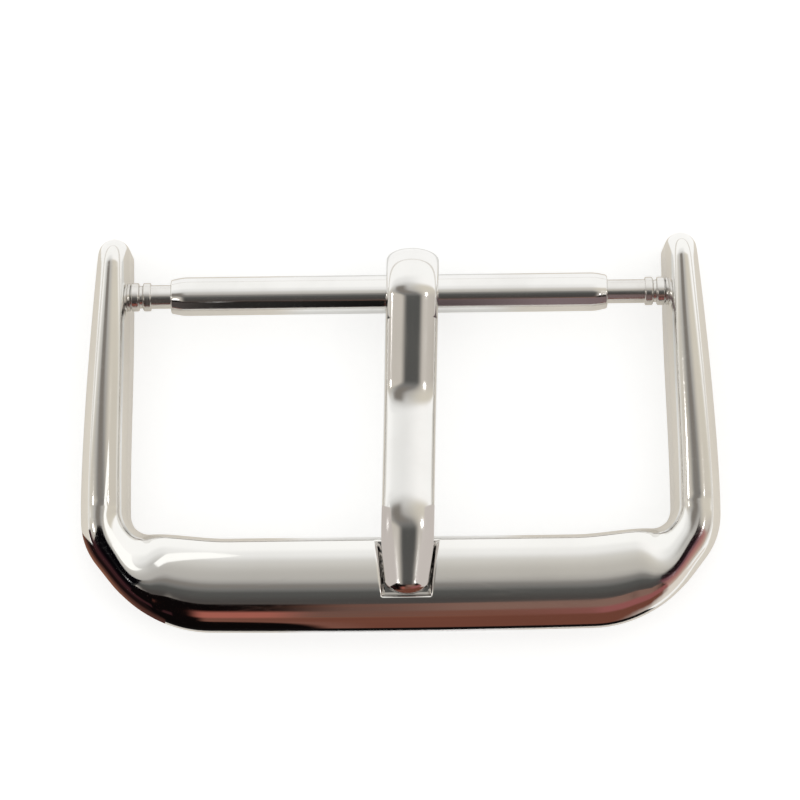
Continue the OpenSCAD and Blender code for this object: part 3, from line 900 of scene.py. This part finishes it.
def paleCloth(name, colour, glowStrength):
    mat = bpy.data.materials.new(name)
    mat.use_nodes = True
    tree = mat.node_tree
    shader = tree.nodes["Principled BSDF"]
    shader.inputs["Base Color"].default_value = (*colour, 1)
    shader.inputs["Roughness"].default_value = clothSet["rough"]
    shader.inputs["Specular IOR Level"].default_value = 0.0
    ray = addNode(tree, "ShaderNodeLightPath").outputs
    seen = calc(tree, "MAXIMUM", ray["Is Camera Ray"], ray["Is Glossy Ray"])
    seen = calc(tree, "MAXIMUM", seen, ray["Is Transmission Ray"])
    glow = addNode(tree, "ShaderNodeEmission", {
        "Color": (*clothSet["glowColour"], 1), "Strength": times(tree, seen, glowStrength),
    })
    both = addNode(tree, "ShaderNodeAddShader", {0: shader.outputs[0], 1: glow.outputs[0]})
    tree.links.new(both.outputs[0], tree.nodes["Material Output"].inputs["Surface"])
    return mat


# Floor under the buckle, sizes in metres
floorSet = {"z": -1.6 * mm, "half": 4.0, "colour": (0.55, 0.55, 0.545), "glow": 0.58}


def paleFloor(s):
    cloth = paleCloth("paleFloor", s["colour"], s["glow"])
    return board("paleFloor", flat(-s["half"], s["half"], -s["half"], s["half"], s["z"]), cloth)


# Panel overhead, sizes in metres; its tone follows the slope along which the buckle looks up
panelSet = {
    "height": 0.5, "half": 2.6, "back": 12.0,
    "cloth": (0.95, 0.95, 0.94), "glare": (1.12, 1.12, 1.10),
    "slopes": 80, "cameraLean": 7,  # degrees forward or back of upright
    "middle": (
        (-70, "glare"), (-52, (246, 246, 244)), (-35, (228, 228, 226)), (-20, (196, 195, 192)),
        (-10, (170, 168, 165)), (0, (118, 117, 115)), (9, (80, 80, 78)), (24, (70, 67, 65)),
        (60, (104, 72, 60)),
    ),
    "flank": (
        (-60, "glare"), (-30, (248, 247, 245)), (-17, (206, 200, 187)), (15, (190, 184, 176)),
        (60, (116, 84, 78)),
    ),
    # from back to front the middle tones move aside and draw together
    "change": (-5, 14), "aside": (-28, 2), "middleTo": 12, "flankFrom": (60, 27),
    # a dark slat left of the middle, where only the arms look
    "slatBegins": (-18, -10), "slatEnds": (3, 10), "slatAside": (6, 22),
    "slatTone": (122, 117, 111),
}


def overheadPanel(s):
    mat, tree, glow = glowing("panelCloth")
    at = partsOf(tree, objectPlace(tree))
    height, slopes = s["height"], s["slopes"]
    forward = calc(tree, "ARCTANGENT", calc(tree, "DIVIDE", at["Y"], -height))
    forward = times(tree, forward, 180 / math.pi)  # degrees from upright, towards the front bar
    aside = calc(tree, "ARCTANGENT", calc(tree, "DIVIDE", at["X"], height))
    aside = times(tree, aside, 180 / math.pi)
    along = calc(tree, "ADD", forward, slopes)
    along = calc(tree, "DIVIDE", along, 2 * slopes, useClamp=True)

    def slopeRamp(stops):
        shares = [(slope + s["cameraLean"] + slopes) / (2 * slopes) for slope, _ in stops]
        tones = [s["glare"] if colour == "glare" else tone(colour) for _, colour in stops]
        return rampOf(tree, along, list(zip(shares, tones)))

    middle, flank = slopeRamp(s["middle"]), slopeRamp(s["flank"])
    centre = smoothStep(tree, forward, *s["change"], *s["aside"])
    offset = calc(tree, "ABSOLUTE", calc(tree, "SUBTRACT", aside, centre))
    flankFrom = smoothStep(tree, forward, *s["change"], *s["flankFrom"])
    colour = colourMix(tree, smoothStep(tree, offset, s["middleTo"], flankFrom), middle, flank)
    slat = smoothStep(tree, forward, *s["slatBegins"])
    slat = times(tree, slat, smoothStep(tree, forward, *s["slatEnds"], 1, 0))
    slat = times(tree, slat, smoothStep(tree, offset, *s["slatAside"], 1, 0))
    colour = colourMix(tree, slat, colour, tone(s["slatTone"]))
    # light that falls on things comes evenly from the whole cloth
    diffuse = addNode(tree, "ShaderNodeLightPath").outputs["Is Diffuse Ray"]
    tree.links.new(colourMix(tree, diffuse, colour, s["cloth"]), glow.inputs["Color"])
    h, back = s["half"], s["back"]
    corners = [(-h, -h, height), (-h, back, height), (h, back, height), (h, -h, height)]
    return board("overheadPanel", corners, mat)


# Low round wall in front of the buckle that glows and is seen only in the steel: its black and
# brown are painted reflections, and the dark strip at the buckle's foot is painted shade
wallSet = {
    "foot": 12.4, "radius": 60.0, "high": 66.0, "turn": 55.0, "low": -1.55, "steps": 56,
    "stripNear": 11.35, "stripHalf": 9, "stripColour": (0.006, 0.005, 0.005),
    "paints": {
        "black": (10, 7, 7), "umber": (102, 76, 68), "taupe": (126, 98, 88),
        "rust": (114, 74, 63), "brown": (106, 64, 52), "red": (158, 92, 80),
        "pink": (140, 84, 82), "beige": (218, 211, 202),
    },
    # paints by the turn to the right, in degrees
    "lower": ((-14, "black"), (-10, "rust"), (-3, "brown"), (30, "brown"), (40, "beige")),
    "middle": (
        (-18, "black"), (-11, "red"), (-7, "red"), (-4, "umber"), (5, "rust"), (13, "pink"),
    ),
    "upper": ((-7.5, "black"), (-2, "umber"), (5, "taupe"), (21, "taupe"), (33, "black")),
    "toMiddle": (0.12, 0.24), "toUpper": (0.42, 0.60),  # shares of the height
    "spotScale": (25.0, 160.0, 160.0), "spotDetail": 4.0, "spotGain": 1.6,
    "spotsWithin": (0.06, 0.14), "spotTone": (132, 84, 60),
}


def frontWall(s):
    mat, tree, glow = glowing("brownWall")
    place = objectPlace(tree)
    at = partsOf(tree, place)
    turn = calc(tree, "ARCTAN2", at["X"], times(tree, at["Y"], -1.0))
    across = calc(tree, "MULTIPLY_ADD", turn, 0.5 / math.radians(s["turn"]), 0.5, useClamp=True)

    def acrossRamp(stops):
        paints = [tone(s["paints"][paint]) for _, paint in stops]
        shares = [0.5 + degrees / (2 * s["turn"]) for degrees, _ in stops]
        return rampOf(tree, across, list(zip(shares, paints)))

    share = calc(tree, "DIVIDE", at["Z"], s["high"] * mm)
    lower, middle, upper = (acrossRamp(s[row]) for row in ("lower", "middle", "upper"))
    colour = colourMix(tree, smoothStep(tree, share, *s["toMiddle"]), lower, middle)
    colour = colourMix(tree, smoothStep(tree, share, *s["toUpper"]), colour, upper)

    # paler spots near the middle
    stretch = {"Vector": place, "Scale": s["spotScale"]}
    stretched = addNode(tree, "ShaderNodeMapping", stretch).outputs["Vector"]
    grain = noise(tree, stretched, Scale=1.0, Detail=s["spotDetail"])
    spots = calc(tree, "SUBTRACT", grain, 0.5, useClamp=True)
    spots = calc(tree, "MULTIPLY", spots, s["spotGain"], useClamp=True)
    nearMiddle = smoothStep(tree, calc(tree, "ABSOLUTE", turn), *s["spotsWithin"], 1, 0)
    colour = colourMix(tree, times(tree, spots, nearMiddle), colour, tone(s["spotTone"]))
    tree.links.new(colour, glow.inputs["Color"])

    # the floor in front of the wall, then the wall itself
    low, high, foot, radius = (s[key] * mm for key in ("low", "high", "foot", "radius"))
    steps = s["steps"]
    turns = [math.radians(mix(-s["turn"], s["turn"], i / steps)) for i in range(steps + 1)]
    inner = [(max(-radius, min(radius, foot * math.tan(t))), -foot) for t in turns]
    outer = [(radius * math.sin(t), -radius * math.cos(t)) for t in turns]
    points = [(x, y, low) for x, y in inner + outer] + [(x, y, high) for x, y in outer]
    n = steps + 1
    faces = []
    for i in range(steps):
        for row in (0, n):
            faces.append((row + i, row + i + 1, row + n + i + 1, row + n + i))
    wall = board("frontWall", points, mat, faces)

    # painted shade: the front bar's lower edge mirrors this strip as a black band, the shadow at
    # the buckle's foot
    darkMat, _, darkGlow = glowing("darkStrip")
    darkGlow.inputs["Color"].default_value = (*s["stripColour"], 1)
    near, half = s["stripNear"] * mm, s["stripHalf"] * mm
    strip = board("frontStrip", flat(-half, half, -near, -foot, low), darkMat)
    return [wall, strip]


# Buff sheet under the buckle, seen only in the steel: a painted reflection, so that its sides
# don't fade into the white floor
sheetSet = {
    "near": 11.35, "back": 2.6, "half": 70.0, "z": -1.56, "glow": 0.25,
    "sides": (0.57, 0.52, 0.44), "middle": (0.62, 0.62, 0.60), "front": (0.80, 0.80, 0.79),
    "frontFrom": (-5.0, -2.0), "middleTo": (3.0, 4.5),
}


def buffSheet(s):
    mat = paleCloth("buffSheet", s["sides"], s["glow"])
    tree = mat.node_tree
    at = partsOf(tree, objectPlace(tree))
    ahead = smoothStep(tree, at["Y"], *[c * mm for c in s["frontFrom"]], 1, 0)
    edges = [c * mm for c in s["middleTo"]]
    inside = smoothStep(tree, calc(tree, "ABSOLUTE", at["X"]), *edges, 1, 0)
    middle = colourMix(tree, ahead, s["middle"], s["front"])
    colour = colourMix(tree, inside, s["sides"], middle)
    tree.links.new(colour, tree.nodes["Principled BSDF"].inputs["Base Color"])
    near, back, half, low = (s[key] * mm for key in ("near", "back", "half", "z"))
    return board("buffSheet", flat(-half, half, -near, back, low), mat)


# Small glowing cards close to the buckle, seen only in the steel and toned by the distance from
# one point: painted reflections, dark bands and a white painted highlight. A flat card has a
# height and an outline, an upright one the ends of its foot and a top.
cardSet = {
    # cards round the front corners: painted reflections, black, plum and orange-brown, in the
    # corners' steel
    "leftCard": {
        "high": 6.0, "outline": (
            (-10.0, -7.7), (-9.55, -8.7), (-8.95, -9.7), (-9.6, -11.2), (-28, -32), (-38, -17),
            (-13, -8.0),
        ),
        "from": (-9.6, -9.2, 6.0), "reach": 32.0,
        "tones": ((0, (5, 4, 6)), (8, (6, 4, 6)), (16, (34, 18, 22)), (30, (74, 42, 44))),
    },
    "leftEndCard": {
        "foot": ((-42, -11, -1.55), (-20, -44, -1.55)), "top": 6.0,
        "from": (-9.6, -9.2, 6.0), "reach": 60.0,
        "tones": ((0, (60, 34, 36)), (60, (44, 24, 26))),
    },
    "leftFloorCard": {
        "high": -1.54, "outline": (
            (-10.2, -7.9), (-8.0, -10.9), (-8.6, -12.3), (-40, -62), (-70, -30), (-11.4, -7.9),
        ),
        "from": (-10.2, -9.0, -1.54), "reach": 32.0,
        "tones": (
            (0, (148, 104, 84)), (1.2, (116, 78, 62)), (2.6, (72, 45, 39)), (4.5, (24, 14, 14)),
            (30, (40, 24, 26)),
        ),
    },
    "rightCard": {
        "high": 6.0, "outline": (
            (9.9, -7.7), (11.2, -8.2), (38.4, -17), (26.6, -33.8), (9.4, -12.2), (9.1, -10.6),
            (9.1, -9.5), (9.25, -8.5),
        ),
        "from": (9.4, -9.1, 6.0), "reach": 32.0,
        "tones": (
            (0, (26, 17, 19)), (2.0, (34, 22, 26)), (3.6, (112, 72, 78)), (6, (156, 108, 104)),
            (10, (168, 128, 120)), (20, (186, 166, 154)),
        ),
    },
    # a painted highlight: the white streak on the left inner corner
    "leftGlint": {
        "high": 6.0, "outline": ((-9.1, -7.8), (-8.5, -8.5), (-5.6, -6.2), (-6.4, -5.2)),
        "from": (-9.2, -8.2, 6.0), "reach": 10.0,
        "tones": ((0, (255, 255, 252)), (10, (255, 255, 252))),
    },
    # grey glowing cards beside the tongue's tip: painted reflections on its sides
    "leftShield": {
        "foot": ((-0.7, -10.25, 0.75), (-1.03, -7.2, 0.35)), "top": 2.2, "oneSided": True,
        "from": (-1.03, -7.2, 0.0), "reach": 4.0,
        "tones": ((0, (190, 183, 178)), (4, (190, 183, 178))),
    },
    "rightShield": {
        "foot": ((1.47, -7.2, 0.35), (1.03, -10.25, 0.75)), "top": 2.2, "oneSided": True,
        "from": (1.47, -7.2, 0.0), "reach": 4.0,
        "tones": ((0, (196, 189, 184)), (4, (196, 189, 184))),
    },
    # cards beside the tube: painted dark and pinkish reflections on it
    "leftTubeCard": {
        "foot": ((-0.44, -1.0, 0.46), (-8.6, -1.0, 0.46)), "top": 1.3, "oneSided": True,
        "from": (-0.5, -1.0, 0.0), "reach": 8.0,
        "tones": ((0, (20, 19, 18)), (5, (40, 39, 38)), (8, (76, 70, 68))),
    },
    "rightTubeCard": {
        "foot": ((8.6, -1.0, 0.46), (1.34, -1.0, 0.46)), "top": 1.3, "oneSided": True,
        "from": (1.4, -1.0, 0.0), "reach": 8.0,
        "tones": ((0, (84, 74, 75)), (4, (120, 106, 108)), (8, (116, 98, 96))),
    },
}


def cardCorners(card):
    if "outline" in card:
        return [(x, y, card["high"]) for x, y in card["outline"]]
    a, b = card["foot"]
    return [a, b, (*b[:2], card["top"]), (*a[:2], card["top"])]


def smallCard(name, card):
    mat, tree, glow = glowing(name)
    away = addNode(tree, "ShaderNodeVectorMath", {
        0: objectPlace(tree), 1: [c * mm for c in card["from"]],
    }, operation="DISTANCE")
    reach = card["reach"]
    share = calc(tree, "DIVIDE", away.outputs["Value"], reach * mm, useClamp=True)
    stops = [(distance / reach, tone(colour)) for distance, colour in card["tones"]]
    tree.links.new(rampOf(tree, share, stops), glow.inputs["Color"])
    if card.get("oneSided"):  # nothing behind it sees it
        back = addNode(tree, "ShaderNodeNewGeometry").outputs["Backfacing"]
        clear = addNode(tree, "ShaderNodeBsdfTransparent").outputs[0]
        through = addNode(tree, "ShaderNodeMixShader", {0: back, 1: glow.outputs[0], 2: clear})
        surface = tree.nodes["Material Output"].inputs["Surface"]
        tree.links.new(through.outputs[0], surface)
    return board(name, [[c * mm for c in p] for p in cardCorners(card)], mat)


# Room and lamps: forward and sideways angle, radius in metres and strength of each lamp
lampSet = {
    "distance": 0.45, "room": (0.82, 0.795, 0.74),
    "lamps": (
        (10.0, -58.0, 0.024, 6.0), (10.0, 34.0, 0.024, 6.0),
        (26.0, -27.0, 0.018, 8.0), (26.0, 25.0, 0.012, 6.0),
    ),
}


def roomLight(s):
    world = bpy.data.worlds.new("paleRoom")
    scene.world = world
    world.use_nodes = True
    backdrop = world.node_tree.nodes["Background"].inputs
    backdrop["Color"].default_value = (*s["room"], 1)
    backdrop["Strength"].default_value = 1.0

    for number, (forward, aside, radius, strength) in enumerate(s["lamps"]):
        data = bpy.data.lights.new(f"lamp{number + 1}", "AREA")
        data.shape = "DISK"
        data.size = 2 * radius
        data.energy = strength * math.pi ** 2 * radius ** 2
        lamp = newObject(data.name, data)
        b, a = math.radians(forward), math.radians(aside)
        way = Vector((math.sin(a), -math.sin(b) * math.cos(a), math.cos(b) * math.cos(a)))
        lamp.location = way * s["distance"]
        lamp.rotation_euler = way.to_track_quat("Z", "Y").to_euler()


paleFloor(floorSet)
overheadPanel(panelSet)
mirroredBoards = frontWall(wallSet) + [buffSheet(sheetSet)]
mirroredBoards += [smallCard(name, card) for name, card in cardSet.items()]
for piece in mirroredBoards:
    onlyInShine(piece)
roomLight(lampSet)
scene.view_settings.view_transform = "Standard"
print("studio set")
